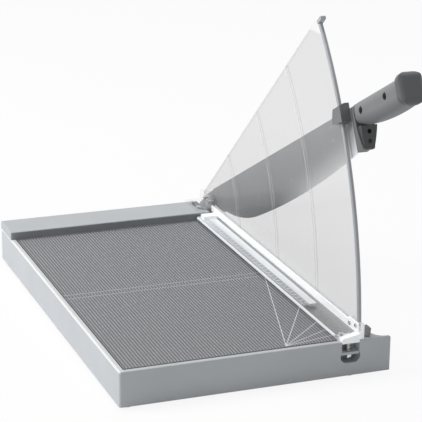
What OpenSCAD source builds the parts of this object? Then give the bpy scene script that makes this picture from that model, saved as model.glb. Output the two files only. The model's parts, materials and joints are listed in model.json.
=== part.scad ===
// Paper trimmer with a lever arm, for sheets up to A3.
// The origin is the centre of the front left foot's underside; x runs right, y runs back, z runs up.
// Most pieces are drawn in base coordinates: x from the base's left face, y from its front face and
// z from the walls' lower edge. The arm's pieces are drawn in arm coordinates, about the pivot.

/* [Base] */
// Width of the front wall, with the wing on the right
base_w = 320; // [310:1:330]
// Depth of the base
base_d = 512; // [500:1:530]
// Height of the walls
base_h = 41; // [40.5:0.5:43]
// Thickness of the walls
wall_t = 3; // [2.5:0.5:4]
// Thickness of the deck under the mat
deck_t = 3; // [2:0.5:4]
// Radius of the upright corners
corner_r = 3; // [2:0.5:5]
// Radius of the walls' top edges
edge_r = 1.5; // [1:0.25:2]
// Width of the rim around the mat
rim_w = 6; // [5:0.5:8]

/* [Wing] */
// Width of the wing beside the rail
wing_w = 35; // [34:0.5:38]
// Width of the wing's block
wing_block_w = 18; // [17:0.5:20]
// Depth of the wing's block
wing_d = 17; // [16.5:0.5:18]
// Thickness of the wing's outer end
wing_end_t = 3; // [2.5:0.5:4]
// Radius of the hollow behind the wing
wing_hollow_r = 14; // [12:0.5:14]
// Depth of the knife slot in the wing
slot_depth = 8; // [6:0.5:10]
// Distance from the front face to the knife slot
slot_front = 5; // [4:0.5:6]

/* [Feet] */
// Radius of a foot
foot_r = 6; // [5:0.5:7]
// Height of the feet below the walls
foot_h = 3; // [2:0.5:4]
// Distance from the left face to the left feet
foot_inset_x = 12; // [11:0.5:14]
// Distance from the front face to the front feet
foot_inset_y = 11; // [11:0.5:14]
// Radius of a foot's neck in the bottom plate
foot_neck_r = 2.5; // [2:0.5:3]

/* [Bottom plate] */
// Thickness of the bottom plate
plate_t = 1.5; // [1:0.25:2]
// Screws along each side of the bottom plate
plate_screws = 3; // [2:1:4]
// Distance from the walls to those screws
plate_margin = 20; // [18:1:24]

/* [Mat] */
// Thickness of the mat under its ribs
mat_t = 1.1; // [0.8:0.1:1.5]
// Height of the mat's ribs
rib_h = 0.4; // [0.3:0.1:0.6]
// Width of a rib
rib_w = 1.2; // [0.8:0.1:1.6]
// Distance from one rib to the next
rib_pitch = 3.7; // [3.2:0.1:5]
// Depth of the mat's top below the rim
mat_sink = 0.5; // [0.3:0.1:0.8]
// Distance from the front face to the middle of the cross lines
cross_line_y = 238; // [200:1:260]
// Distance between the two cross lines
cross_line_gap = 12; // [8:0.5:14]
// Width of a cross line
cross_line_w = 1; // [0.8:0.1:1.4]

/* [Paper stop] */
// Depth of the paper stop
stop_d = 52; // [50:1:56]
// Height of the paper stop above the deck
stop_h = 10; // [9:0.5:12]
// Wall of the paper stop
stop_wall = 2.5; // [2:0.5:3]
// Thickness of the dark strip that the paper meets
strip_t = 2; // [1.5:0.5:3]
// Height of the lip over the strip
strip_lip = 1.2; // [1:0.2:2]
// Width of the rail that the stop leaves free on the right
stop_right_gap = 11; // [10:0.5:12]

/* [Rail and bed blade] */
// Width of the rail's top
rail_w = 23; // [22:0.5:26]
// Thickness of the rail
rail_t = 3; // [2.5:0.5:3]
// Height of the rail's side
rail_h = 24; // [23:0.5:28]
// Thickness of the bed blade
blade_t = 3; // [2.5:0.5:4]
// Height of the bed blade
blade_h = 22; // [19:0.5:23]
// Number of screws in the bed blade
blade_screws = 5; // [3:1:7]
// Gap between the two blades
blade_gap = 0.05; // [0.03:0.01:0.1]

/* [Clamp] */
// Width of the clamp's clear bar
clamp_w = 25.5; // [24:0.5:27]
// Thickness of the clear bar
clamp_t = 3; // [2.5:0.5:4]
// Height of the raised clamp above the rail
clamp_travel = 3; // [2:0.5:3.5]
// Gap between the clear bar and the paper stop
clamp_rear_gap = 4; // [3:0.5:6]
// Radius of the clear bar's front corner
clamp_corner_r = 5; // [3:0.5:8]
// Height of the crown on the front cap
crown_h = 4; // [3.5:0.5:4.5]
// Depth of that crown
crown_d = 9; // [9:0.5:10]
// Width of the front cap
cap_w = 21.2; // [20:0.2:21.6]
// Reach of the caps below the clear bar
cap_drop = 5.5; // [5:0.5:6]
// Length of the rear cap
rear_cap_d = 14; // [13:0.5:18]
// Height of the rear cap above the clear bar
rear_cap_h = 4; // [3:0.5:5]
// Radius of the guide pins
pin_r = 2.5; // [2:0.25:3]
// Width across the flats of the nuts under the guide pins
nut_flats = 8; // [7.5:0.5:8.5]
// Height of those nuts
nut_h = 4; // [3:0.5:4]
// Distance from the front face to the front guide pin
pin_front_y = 7.5; // [7:0.5:8]
// Radius of the springs, to the middle of their wire
spring_r = 4.6; // [4.2:0.1:4.8]
// Thickness of the springs' wire
spring_wire = 1; // [0.8:0.1:1.2]
// Turns of a spring
spring_turns = 4; // [3:0.5:4.5]
// Length of a spring at rest
spring_len = 11; // [10:0.5:12]

/* [Guard] */
// Thickness of the clear sheet
sheet_t = 3; // [2.5:0.5:3.5]
// Distance from the cutting plane to the middle of the sheet
sheet_offset = 4.8; // [4.8:0.1:5]
// Distance from the front face to the sheet's curved edge, which is an arc about the pivot
sheet_front = 4.7; // [4:0.1:6]
// Angle of the sheet's upper edge
sheet_top_angle = 41; // [40:0.5:44]
// Distance from the pivot to the line of the sheet's upper edge
sheet_top_offset = 10; // [8:0.5:12]
// Radius of the sheet's upper corner
sheet_corner_r = 8; // [7:0.5:10]
// Thickness of the rim in front of the sheet's edge
rim_nose = 1.3; // [1:0.1:1.6]
// Depth of the rim's lips over the sheet
lip_d = 2.5; // [2.5:0.5:4]
// Thickness of the rim's lips
lip_t = 0.5; // [0.4:0.1:0.8]
// Height of the rail that holds the sheet
guard_rail_h = 8.5; // [8:0.5:10]
// Height of the gap under that rail, for the paper
paper_gap = 7.5; // [7.5:0.5:9]
// Height of the front bracket
bracket_h = 19; // [18:0.5:20]
// Length of the front bracket
bracket_d = 26; // [24:0.5:30]
// Height of the rear bracket's upstand above its plate
upstand_h = 14; // [12:0.5:15]
// Thickness of the rear bracket's plate
bracket_plate_t = 3; // [2.5:0.5:4]
// Length of the rear bracket
rear_bracket_d = 44; // [40:1:46]

/* [Hinge] */
// Distance from the rear face to the pivot
pivot_back = 19.2; // [18:0.2:22]
// Height of the pivot above the walls' lower edge
pivot_h = 27.2; // [26.6:0.2:27.6]
// Radius of the pivot bolt
pivot_r = 5; // [4:0.5:5.5]
// Thickness of the hinge bracket
hinge_t = 5.5; // [4:0.5:5.5]
// Radius of the hinge bracket's round end
hinge_end_r = 12; // [11:0.5:13]
// Width of the hinge bracket's foot
hinge_foot_w = 46; // [42:1:60]
// Thickness of that foot
hinge_foot_t = 5; // [4:0.5:6]
// Wall of the bush in the arm
bush_t = 2; // [1.5:0.5:2.5]

/* [Arm] */
// Angle of the arm above the table as it stands open
rest_angle = 27.32; // [20:0.02:32]
// Height of the arm's spine above the pivot line
spine_h = 20; // [19:0.5:21]
// Thickness of the knife
knife_t = 3; // [2.5:0.5:3.5]
// Distance from the pivot to the knife's rear end
knife_start = 60; // [55:1:70]
// Distance from the pivot to the lowest point of the edge
belly_at = 305; // [300:1:315]
// Depth of the edge's lowest point below the pivot line
belly_h = 45.7; // [44:0.1:46]
// Radius of the long part of the edge
edge_long_r = 2000; // [1950:10:2100]
// Radius of the rear part of the edge
edge_rear_r = 320; // [310:5:330]
// Distance from the pivot to where the two parts meet
edge_joint_at = 215; // [208:1:220]
// Height of the ground bevel
bevel_h = 4; // [3:0.5:5]
// Thickness of the arm's beam behind the knife
arm_t = 8; // [7:0.5:9]
// Thickness of the beam's web
web_t = 3; // [2.5:0.5:4]
// Thickness of the beam's edges and ribs
beam_wall = 2; // [1.5:0.5:3]
// Height of the beam's lower edge below the pivot line, at the front
beam_front_h = 22; // [21:0.1:22]
// Height of the beam's lower edge below the pivot line, at its middle
beam_mid_h = 30; // [28:0.5:31]
// Radius of the beam's round end at the pivot
boss_r = 15; // [14:0.5:15]

/* [Guide clip] */
// Length of the guide clip's top
clip_len = 18; // [16:0.5:20]
// Width of the guide clip
clip_w = 12; // [11.5:0.5:13]
// How far the guide clip reaches past the rim
clip_reach = 11.6; // [10:0.2:13]
// Distance from the guide clip's front face to the knife's front end
clip_inset = 1.5; // [1:0.1:2]
// Height of the guide clip's top above the pivot line
clip_top = 26.8; // [25:0.2:27]
// Height of the guide clip
clip_h = 21; // [20:0.5:22]
// Clearance of the clip round the rim
clip_gap = 0.5; // [0.4:0.1:0.6]

/* [Handle] */
// Length of the handle's head, between the knife and the flange
head_len = 17.5; // [15:0.5:22]
// Thickness of the flange
flange_t = 3; // [2.5:0.5:4]
// Width of the flange
flange_w = 23; // [22:0.5:24]
// Radius of the flange's sides, which draw in towards its foot
flange_side_r = 140; // [130:5:200]
// Height of the flange's top above the pivot line
flange_top = 20.5; // [19:0.5:22]
// Depth of the flange's foot below the pivot line
flange_foot = 32; // [30:0.5:34]
// Length of the grip
grip_len = 115; // [110:1:125]
// Width of the grip
grip_w = 27; // [27:0.5:30]
// Height of the grip's top above the pivot line
grip_top = 22; // [21.5:0.1:23]
// Height of the grip at its swell
grip_h = 34; // [33.5:0.5:36]
// Distance from the flange to the grip's swell
grip_swell = 82; // [74:1:90]
// Radius of the grip's underside
swell_r = 467; // [400:1:600]
// Radius of the grip's long edges
grip_round_r = 13; // [10:0.5:13]
// Wall of the grip's shells
grip_wall = 3; // [2.5:0.5:3.5]
// Length of the cap on the grip's end
cap_len = 9; // [8:0.5:11]
// How far the cap stands out from the grip's sides
cap_flare = 2.2; // [1.5:0.1:3]
// How far the cap stands out from the grip's top
cap_rise = 3.3; // [2:0.1:4]
// Thickness of the finger guard under the grip
finger_d = 9.5; // [8:0.5:11]
// Thickness of the finger guard at its foot
finger_foot_d = 2.5; // [2.5:0.5:4]
// Depth of the finger guard below the pivot line
finger_foot = 30; // [29:0.5:30]
// Margin of the flange round the finger guard
finger_inset = 1.3; // [1:0.1:2]

/* [Hidden] */

// Clearances between fitted pieces, at running fits and where one body passes another
fit_gap = 0.1;
run_gap = 0.05;
pass_gap = 0.3;
// How far a cut reaches past the face that it opens
over = 1;
// Facets of the large arcs and of the small round shapes
large_fn = 256;
round_fn = 48;

// Radii of the small screws, the machine screws and their heads
screw_r = 1.5;
screw_head_r = 3;
bolt_r = 3;
bolt_head_r = 5.2;

// The base's main planes
tray_w = base_w - wing_w;
wall_x = tray_w - rail_t;
rail_x = tray_w - rail_w;
cut_x = tray_w + blade_t;
mat_recess = mat_t + rib_h + mat_sink;
cavity_top = base_h - mat_recess - deck_t;
stop_y = base_d - stop_d;
stop_w = tray_w - stop_right_gap;
stop_top = base_h + stop_h;
wing_block_x = tray_w + wing_block_w;

// The guard's planes
pivot_y = base_d + pivot_back;
pivot_z = pivot_h;
sheet_r = pivot_y - sheet_front;
sheet_x = cut_x - sheet_offset - sheet_t / 2;
holder_wall = 1.5;
holder_x = sheet_x - fit_gap - holder_wall;
guard_rail_w = sheet_t + 2 * (fit_gap + holder_wall);
guard_rail_z = base_h + paper_gap;
guard_rail_top = guard_rail_z + guard_rail_h;
sheet_sink = 6.5;
sheet_z = guard_rail_top - sheet_sink;
edge_round = 1;
sheet_rear_y = base_d - 11;
bracket_y = 1.5;
bracket_end = bracket_y + bracket_d;
bracket_round = 3;
bracket_z = guard_rail_z + 1;
bracket_top = base_h + bracket_h;
bracket_right = cut_x - pass_gap;
rear_bracket_y = base_d - rear_bracket_d;
rear_bracket_x = stop_w - 16;
rear_plate_top = stop_top + bracket_plate_t;
rim_side = lip_t + fit_gap;
rim_in = sheet_r - lip_d;
rim_out = sheet_r + fit_gap + rim_nose;
rim_bottom = asin((bracket_top + pass_gap - pivot_z) / rim_in);
rim_chamfer = 0.8;
rim_stop_reach = 9;
rim_stop_h = 4.5;
rim_stop_wall = 0.8;
stop_angle = sheet_top_angle + 0.15;
rim_top = stop_angle + asin(rim_stop_h / rim_out);

// The clamp's planes at rest
clamp_z = base_h + clamp_travel;
clamp_top = clamp_z + clamp_t;
clamp_right = tray_w - 4.5;
clamp_x = clamp_right - clamp_w;
cap_right = wall_x - pass_gap;
cap_x = cap_right - cap_w;
cap_z = clamp_z - cap_drop;
shelf_end = wing_d - pass_gap;
clamp_front_y = crown_d + fit_gap;
clamp_screw_at = [for (x = [cap_x + 4, cap_right - 5]) [x, (crown_d + shelf_end) / 2]];
clamp_end = stop_y - clamp_rear_gap;
rear_cap_y = clamp_end - rear_cap_d;
rear_cap_top = clamp_top + rear_cap_h;
rear_cap_right = holder_x - pass_gap;
pin_x = cap_x + cap_w / 2;
pin_rear_y = clamp_end - rear_cap_d / 2;
pin_bury = 4;
web_z = cap_z - spring_len;
guide_web_t = 3;
guide_web_z = web_z - guide_web_t;
nut_z = guide_web_z - nut_h - run_gap;
pin_z = nut_z - 2;
pocket_floor = pin_z - clamp_travel - pass_gap;
pocket_d = wing_d - 2.5;
pocket_side = 0.4;
pocket_rim = 1.5;
mat_corner = [cap_x - pocket_side - pocket_rim, wing_d + pocket_rim];
lobe_r = 7.8;
lobe_x = 4.3;
lobe_z = pocket_floor + lobe_r;
spring_bore_r = spring_r + spring_wire / 2 + 1;
spring_stub_r = spring_bore_r - pass_gap;

// The clamp's springs: rings of points to a turn, sides to a ring, and the helix through them
spring_rings = 8;
spring_sides = 6;
spring_rise = (spring_len - spring_wire - 2 * fit_gap) / spring_turns;
spring_steps = floor(spring_turns * spring_rings);
spring_slope = atan(spring_rise / (2 * PI * spring_r));

// The hinge's planes
knife_x = cut_x + blade_gap;
beam_x = knife_x + knife_t;
beam_right = beam_x + arm_t;
hinge_right = beam_x - 3 * run_gap;
hinge_x = hinge_right - hinge_t;
bush_left = hinge_right + run_gap;
bush_right = beam_right + run_gap;
bush_r = pivot_r + run_gap;
washer_t = 2;
washer_x = bush_right + run_gap;
pivot_nut_x = washer_x + washer_t;
pivot_nut_h = 8;
pivot_nut_r = 9.2;
pivot_end = pivot_nut_x + pivot_nut_h + 2;
pivot_head_r = 8.6;
pivot_head_h = 5;
hinge_foot_x = hinge_right - hinge_foot_w;
hinge_foot_z = pivot_z - 21;
hinge_foot_top = pivot_z + 10.5;
hinge_screw_x = [hinge_foot_x + 8, hinge_foot_x + 26];
hinge_screw_z = [pivot_z - 12, pivot_z + 4];
hinge_screw_len = 15;
gusset_x = hinge_screw_x[1] + bolt_head_r + 1;
gusset_z = pivot_z - 17;
gusset_t = 4;
gusset_d = 11;
hinge_block_d = 13;

// The arm's ends, out from the pivot
clip_front = rim_out + clip_reach;
knife_end = clip_front + clip_inset;

// The knife's edge in arm coordinates: the centres of its two arcs, which meet without a corner
edge_centre = [belly_at, edge_long_r - belly_h];
joint_rise = edge_long_r - sqrt(pow(edge_long_r, 2) - pow(belly_at - edge_joint_at, 2));
edge_joint = [edge_joint_at, joint_rise - belly_h];
rear_centre = edge_joint + (edge_centre - edge_joint) * edge_rear_r / edge_long_r;
knife_screw_r = 2;
knife_head_r = 3.8;
knife_screw_s = [112, 226, 340, knife_end - 60];
knife_screw_at = [
    [knife_screw_s[0], 3], [knife_screw_s[1], -22], [knife_screw_s[2], -22], [knife_screw_s[3], -4],
    [knife_screw_s[3], 12]
];

// The beam's outline in arm coordinates
beam_shoulder = 35;
beam_waist = [92, 13];
beam_mid = [150, 490];
beam_front_at = knife_end - 29;
beam_ribs = [for (i = [0 : 2]) (knife_screw_s[i] + knife_screw_s[i + 1]) / 2];

// The clip and the handle in arm coordinates
clip_screw_r = 1.25;
clip_screw_at = [[clip_front - 3.3, clip_top - 12.5], [clip_front - 3.3, clip_top - 18.3]];
head_gap = 1.5;
head_at = knife_end + head_gap;
head_foot = [31, 29.4];
flange_at = head_at + head_len;
flange_end = flange_at + flange_t;
swell_at = flange_end + grip_swell;
flange_r = 8;
flange_wide_c = 5;
grip_end = flange_end + grip_len;
grip_x = knife_x + (arm_t + knife_t) / 2;
flange_x = grip_x - 1;
grip_left_x = grip_x - grip_w / 2;
grip_foot = grip_top - grip_h;
cap_lift = 1.2;
swell_centre = grip_foot + swell_r;
tang_t = 6;
plug_len = 8;
tang_len = grip_len - plug_len - 15;
tang_top = 16;
tang_x = grip_x - tang_t / 2;
grip_screw_at = [flange_end + 20, grip_end - 32];
grip_rib_at = [for (k = [1, 2]) grip_screw_at[0] + k * (grip_screw_at[1] - grip_screw_at[0]) / 3];
grip_screw_c = 8.3;
grip_screw_r = 2;
grip_head_r = 4.2;
grip_head_sink = 5.5;
grip_screw_len = grip_w - grip_head_sink - grip_wall;
lug_at = knife_end - 36;
lug_top = 2;
lug_screw_at = [lug_at + 8, lug_at + 24];
lug_screw_c = -9;
finger_top = -6;
finger_seat = 2;
finger_head_r = 2.4;
finger_screw_c = [-13, -23.5];
finger_screw_len = 13;

// Places of the screws in base coordinates
plate_screw_at = [
    for (i = [0 : plate_screws - 1], x = [plate_margin, wall_x - plate_margin])
        [x, 2 * plate_margin + i * (base_d - 4 * plate_margin) / (plate_screws - 1)]
];
plate_screw_len = 12;
boss_wall = 2;
stop_screw_x = [40, stop_w / 2, stop_w - 40];
stop_screw_y = base_d - stop_d / 2;
rail_screw_x = rail_x + 9;
rail_screw_y = [60, base_d / 2, pin_rear_y - 30];
blade_screw_z = base_h - 13;
blade_end = base_d - 12;
blade_screw_y = [
    for (i = [0 : blade_screws - 1]) wing_d + 25 + i * (blade_end - wing_d - 50) / (blade_screws - 1)
];
bracket_screw_x = tray_w + 0.3;
bracket_screw_y = [5.5, 12.5];
bracket_screw_z = 13;
rear_screw_at = [for (y = [rear_bracket_y + 10, base_d - 10]) [rear_bracket_x + 7, y]];
sheet_screw_at = [
    [bracket_y + 6, bracket_top - 4], [bracket_end - 4, bracket_z + 4],
    [rear_bracket_y + 8, rear_plate_top + 6], [sheet_rear_y - 6, rear_plate_top + 6]
];
foot_right_x = wall_x - 8;
foot_rear_y = base_d - foot_inset_y;
buffer_x = beam_x + 0.5;
buffer_y = 6;
buffer_d = 10;
buffer_top = base_h + 10.7;
buffer_stem = [buffer_x + 3, buffer_y + buffer_d / 2];
buffer_stem_r = 2;
buffer_stem_h = 5.5;

// The feet's heads above the bottom plate
foot_head_r = foot_neck_r + 0.9;
foot_head_z = plate_t + run_gap;
foot_head_top = plate_t + 2.8;

// Puts base coordinates in the part's frame
module in_base() {
    translate([-foot_inset_x, -foot_inset_y, foot_h]) children();
}

// Puts arm coordinates in the part's frame: x stays, -y runs out along the arm and z across it
module in_arm() {
    in_base() translate([0, pivot_y, pivot_z]) rotate([-rest_angle, 0, 0]) children();
}

// Draws a profile in y and z out along x
module along_x(x0, length) {
    translate([x0, 0, 0]) rotate([90, 0, 90]) linear_extrude(length) children();
}

// Draws a profile in x and z out along y
module along_y(y0, length) {
    translate([0, y0 + length, 0]) rotate([90, 0, 0]) linear_extrude(length) children();
}

// Draws a side view of the arm, with the distance from the pivot first, out along x
module arm_plate(x0, length) {
    translate([x0 + length, 0, 0]) rotate([90, 0, -90]) linear_extrude(length) children();
}

module rod_x(x0, y, z, r, length, fn = round_fn) {
    translate([x0, y, z]) rotate([0, 90, 0]) cylinder(r = r, h = length, $fn = fn);
}

module rod_y(x, y0, z, r, length, fn = round_fn) {
    translate([x, y0, z]) rotate([-90, 0, 0]) cylinder(r = r, h = length, $fn = fn);
}

module rod_z(x, y, z0, r, length, fn = round_fn) {
    translate([x, y, z0]) cylinder(r = r, h = length, $fn = fn);
}

module box(low, high) {
    translate(low) cube(high - low);
}

module rounded_rect(low, high, r) {
    translate([low[0] + r, low[1]]) square([high[0] - low[0] - 2 * r, high[1] - low[1]]);
    translate([low[0], low[1] + r]) square([high[0] - low[0], high[1] - low[1] - 2 * r]);
    for (x = [low[0] + r, high[0] - r], y = [low[1] + r, high[1] - r])
        translate([x, y]) circle(r = r, $fn = round_fn);
}

// A screw that points up, with the underside of its head at z = 0 and a hexagon socket
module pan_screw(r, head_r, length) {
    head_h = head_r * 0.6;
    difference() {
        union() {
            translate([0, 0, -head_h]) cylinder(r = head_r, h = head_h, $fn = round_fn);
            cylinder(r = r, h = length, $fn = round_fn);
        }
        translate([0, 0, -head_h - over]) cylinder(r = head_r / 2, h = over + head_h / 2, $fn = 6);
    }
}

// A countersunk screw that points down, with its head's face at z = 0
module flat_screw(r, head_r, length) {
    head_h = head_r - r;
    difference() {
        union() {
            translate([0, 0, -head_h]) cylinder(r1 = r, r2 = head_r, h = head_h, $fn = round_fn);
            translate([0, 0, -length]) cylinder(r = r, h = length - head_h / 2, $fn = round_fn);
        }
        translate([0, 0, -head_h * 0.6]) cylinder(r = head_r * 0.4, h = head_h, $fn = 6);
    }
}

module flat_screw_hole(r, head_r, length) {
    head_h = head_r - r;
    translate([0, 0, -head_h - fit_gap])
        cylinder(r1 = r, r2 = head_r + fit_gap, h = head_h + fit_gap, $fn = round_fn);
    translate([0, 0, -length]) cylinder(r = r + fit_gap, h = length, $fn = round_fn);
    translate([0, 0, -run_gap]) cylinder(r = head_r + fit_gap, h = over, $fn = round_fn);
}

module base_outline() {
    difference() {
        union() {
            translate([corner_r, 0]) square([wall_x - corner_r, base_d]);
            translate([0, corner_r]) square([wall_x, base_d - 2 * corner_r]);
            translate([corner_r, 0]) square([base_w - corner_r, wing_d]);
        }
        translate([wing_block_x + wing_hollow_r, wing_end_t + wing_hollow_r])
            circle(r = wing_hollow_r, $fn = round_fn);
        translate([wing_block_x + wing_hollow_r, wing_end_t]) square([base_w, wing_d]);
    }
    for (y = [corner_r, base_d - corner_r])
        translate([corner_r, y]) circle(r = corner_r, $fn = round_fn);
}

// The base's outer form: its plan, with round top edges seen from the front and from the side
module base_form() {
    intersection() {
        linear_extrude(base_h) base_outline();
        along_y(-over, base_d + 2 * over) {
            square([base_w, base_h - edge_r]);
            rounded_rect([0, base_h / 2], [base_w, base_h], edge_r);
        }
        along_x(-over, base_w + 2 * over) {
            square([base_d, base_h - edge_r]);
            rounded_rect([0, base_h / 2], [base_d, base_h], edge_r);
        }
    }
}

// The pocket in the front wall, in which the clamp's front cap and its spring move
module clamp_pocket() {
    low_x = cap_x - pocket_side;
    shelf_z = cap_z - clamp_travel - pass_gap;
    box([low_x, -over, shelf_z], [wall_x, wing_d, base_h + over]);
    // A relief keeps the wing's inner corner clear of the deck's
    box([wall_x - wall_t / 2, -over, shelf_z], [wall_x, wing_d + pass_gap, base_h + over]);
    box([low_x, -over, web_z], [wall_x, pocket_d, base_h]);
    along_y(-over, pocket_d + over) {
        for (x = [pin_x - lobe_x, pin_x + lobe_x])
            translate([x, lobe_z]) circle(r = lobe_r, $fn = round_fn);
        translate([pin_x - lobe_x, pocket_floor]) square([lobe_x * 2, lobe_r]);
    }
}

module guide_web() {
    side = lobe_x + lobe_r - over;
    difference() {
        box([pin_x - side, bracket_y, guide_web_z], [pin_x + side, pocket_d + over, web_z]);
        rod_z(pin_x, pin_front_y, guide_web_z - over, pin_r + run_gap, guide_web_t + 2 * over);
    }
}

module base_housing() {
    pocket_wall_x = cap_x - pocket_side - wall_t;
    color("gainsboro") in_base() difference() {
        union() {
            difference() {
                base_form();
                box([wall_t, wing_d, -over], [wall_x - wall_t, base_d - wall_t, cavity_top]);
                box([wall_t, wall_t, -over], [pocket_wall_x, wing_d + over, cavity_top]);
                box([wall_t, wall_t, -over], [wall_x - wall_t, wing_d + over, plate_t + fit_gap]);
                difference() {
                    box([rim_w, rim_w, base_h - mat_recess], [rail_x, stop_y, base_h + over]);
                    box([mat_corner[0], 0, 0], [base_w, mat_corner[1], base_h + 2 * over]);
                }
                box([rail_x, wing_d, base_h - rail_t], [base_w, base_d + over, base_h + over]);
                clamp_pocket();
            }
            guide_web();
            for (p = plate_screw_at)
                rod_z(p[0], p[1], plate_t + fit_gap, screw_r + boss_wall, cavity_top - plate_t);
            // Block behind the rear wall for the hinge, and boss under the rear guide pin
            box(
                [hinge_foot_x, base_d - hinge_block_d, plate_t + fit_gap],
                [wall_x - over, base_d - over, cavity_top + over]
            );
            rod_z(
                pin_x, pin_rear_y, guide_web_z, spring_bore_r + boss_wall,
                cavity_top + over - guide_web_z
            );
        }
        for (p = plate_screw_at) rod_z(p[0], p[1], -over, screw_r + fit_gap, plate_screw_len + 3);
        rod_z(pin_x, pin_rear_y, web_z, spring_bore_r, base_h);
        rod_z(pin_x, pin_rear_y, 0, pin_r + run_gap, base_h);
        for (x = hinge_screw_x, z = hinge_screw_z)
            rod_y(x, base_d + hinge_foot_t - hinge_screw_len - over, z, bolt_r + fit_gap, hinge_screw_len);
        for (x = stop_screw_x) rod_z(x, stop_screw_y, cavity_top - over, screw_r + fit_gap, base_h);
        for (y = rail_screw_y) rod_z(rail_screw_x, y, cavity_top - over, screw_r + fit_gap, base_h);
        for (y = blade_screw_y)
            rod_x(wall_x - wall_t - over, y, blade_screw_z, screw_r + fit_gap, wall_t + 2 * over);
        for (y = bracket_screw_y) {
            rod_z(bracket_screw_x, y, -over, screw_r + fit_gap, base_h + 2 * over);
            rod_z(bracket_screw_x, y, -over, screw_head_r + fit_gap, bracket_screw_z + over);
        }
        foot_clearance();
        // Slot for the knife's front end, and the buffer's hole
        box(
            [cut_x - pass_gap, slot_front, base_h - slot_depth],
            [beam_x + pass_gap, wing_d + over, base_h + over]
        );
        rod_z(
            buffer_stem[0], buffer_stem[1], base_h - buffer_stem_h - pass_gap,
            buffer_stem_r + fit_gap, 2 * buffer_stem_h
        );
    }
}

// Room above the bottom plate for the feet's heads
module foot_clearance() {
    for (x = [foot_inset_x, foot_right_x], y = [foot_inset_y, foot_rear_y])
        rod_z(x, y, 0, foot_head_r + 2 * pass_gap, foot_head_top + 2 * pass_gap);
}

module bottom_plate() {
    edge = wall_t + 2 * fit_gap;
    color("dimgray") in_base() difference() {
        box([edge, edge, 0], [wall_x - edge, base_d - edge, plate_t]);
        for (p = plate_screw_at)
            translate([p[0], p[1], 0]) rotate([180, 0, 0])
                flat_screw_hole(screw_r, screw_head_r, plate_t + over);
        for (x = [foot_inset_x, foot_right_x], y = [foot_inset_y, foot_rear_y])
            rod_z(x, y, -over, foot_neck_r + fit_gap, plate_t + 2 * over);
        // Room for the long screws' heads under the wing
        for (y = bracket_screw_y)
            rod_z(bracket_screw_x, y, -over, 2 * screw_head_r, plate_t + 2 * over);
    }
}

module bottom_screws() {
    color("silver") in_base() for (p = plate_screw_at)
        translate([p[0], p[1], 0]) rotate([180, 0, 0])
            flat_screw(screw_r, screw_head_r, plate_screw_len);
}

// A push-in rubber foot: a disc with a worn edge, a neck and a barbed head above the bottom plate
module foot(x, y) {
    worn = 0.6;
    color("#262626") in_base() translate([x, y, 0]) rotate_extrude($fn = round_fn) polygon([
        [0, -foot_h], [foot_r - worn, -foot_h], [foot_r, worn - foot_h], [foot_r, 0], [foot_neck_r, 0],
        [foot_neck_r, foot_head_z], [foot_head_r, foot_head_z],
        [foot_neck_r - worn, foot_head_top], [0, foot_head_top]
    ]);
}

module ribbed_mat() {
    low = rim_w + fit_gap;
    mat_w = rail_x - rim_w - 2 * fit_gap;
    mat_z = base_h - mat_recess;
    ribs = floor((mat_w - rib_w) / rib_pitch);
    rib_start = low + (mat_w - ribs * rib_pitch - rib_w) / 2;
    color("#8a8c90") in_base() difference() {
        along_y(low, stop_y - low - fit_gap) {
            translate([low, mat_z]) square([mat_w, mat_t]);
            for (i = [0 : ribs])
                translate([rib_start + i * rib_pitch, mat_z]) square([rib_w, mat_t + rib_h]);
        }
        for (side = [-1, 1])
            translate([0, cross_line_y + side * cross_line_gap / 2 - cross_line_w / 2, mat_z + mat_t])
                cube([base_w, cross_line_w, over]);
        box([mat_corner[0] - fit_gap, 0, 0], [base_w, mat_corner[1] + fit_gap, base_h]);
    }
}

// The bar at the rear that the paper meets: a hollow moulding with a rebate for the dark strip
module paper_stop() {
    color("#c6c8c8") in_base() difference() {
        intersection() {
            along_x(0, stop_w) rounded_rect([stop_y, base_h - 5], [base_d, stop_top], edge_r);
            along_y(stop_y, stop_d) {
                translate([edge_r, base_h]) square([stop_w - edge_r, stop_h]);
                translate([0, base_h]) square([stop_w, stop_h - edge_r]);
                translate([edge_r, stop_top - edge_r]) circle(r = edge_r, $fn = round_fn);
            }
        }
        box(
            [strip_t, stop_y - over, base_h - over],
            [stop_w + over, stop_y + strip_t, stop_top - strip_lip]
        );
        difference() {
            box(
                [stop_wall, stop_y + strip_t + stop_wall, base_h - over],
                [stop_w - stop_wall, base_d - stop_wall, stop_top - stop_wall]
            );
            for (x = stop_screw_x) rod_z(x, stop_screw_y, base_h - over, screw_r + boss_wall, stop_h);
            for (p = rear_screw_at) rod_z(p[0], p[1], base_h - over, screw_r + boss_wall, stop_h);
        }
        for (x = stop_screw_x) rod_z(x, stop_screw_y, base_h - over, screw_r + fit_gap, stop_h - 1);
        for (p = rear_screw_at) rod_z(p[0], p[1], base_h + 1, screw_r + fit_gap, stop_h);
    }
}

module stop_strip() {
    color("#50555a") in_base() box(
        [strip_t + fit_gap, stop_y, base_h],
        [stop_w, stop_y + strip_t - fit_gap, stop_top - strip_lip - fit_gap]
    );
}

module paper_stop_screws() {
    color("silver") in_base() for (x = stop_screw_x)
        translate([x, stop_screw_y, cavity_top])
            pan_screw(screw_r, screw_head_r, base_h - cavity_top + stop_h - stop_wall - over / 2);
}

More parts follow.
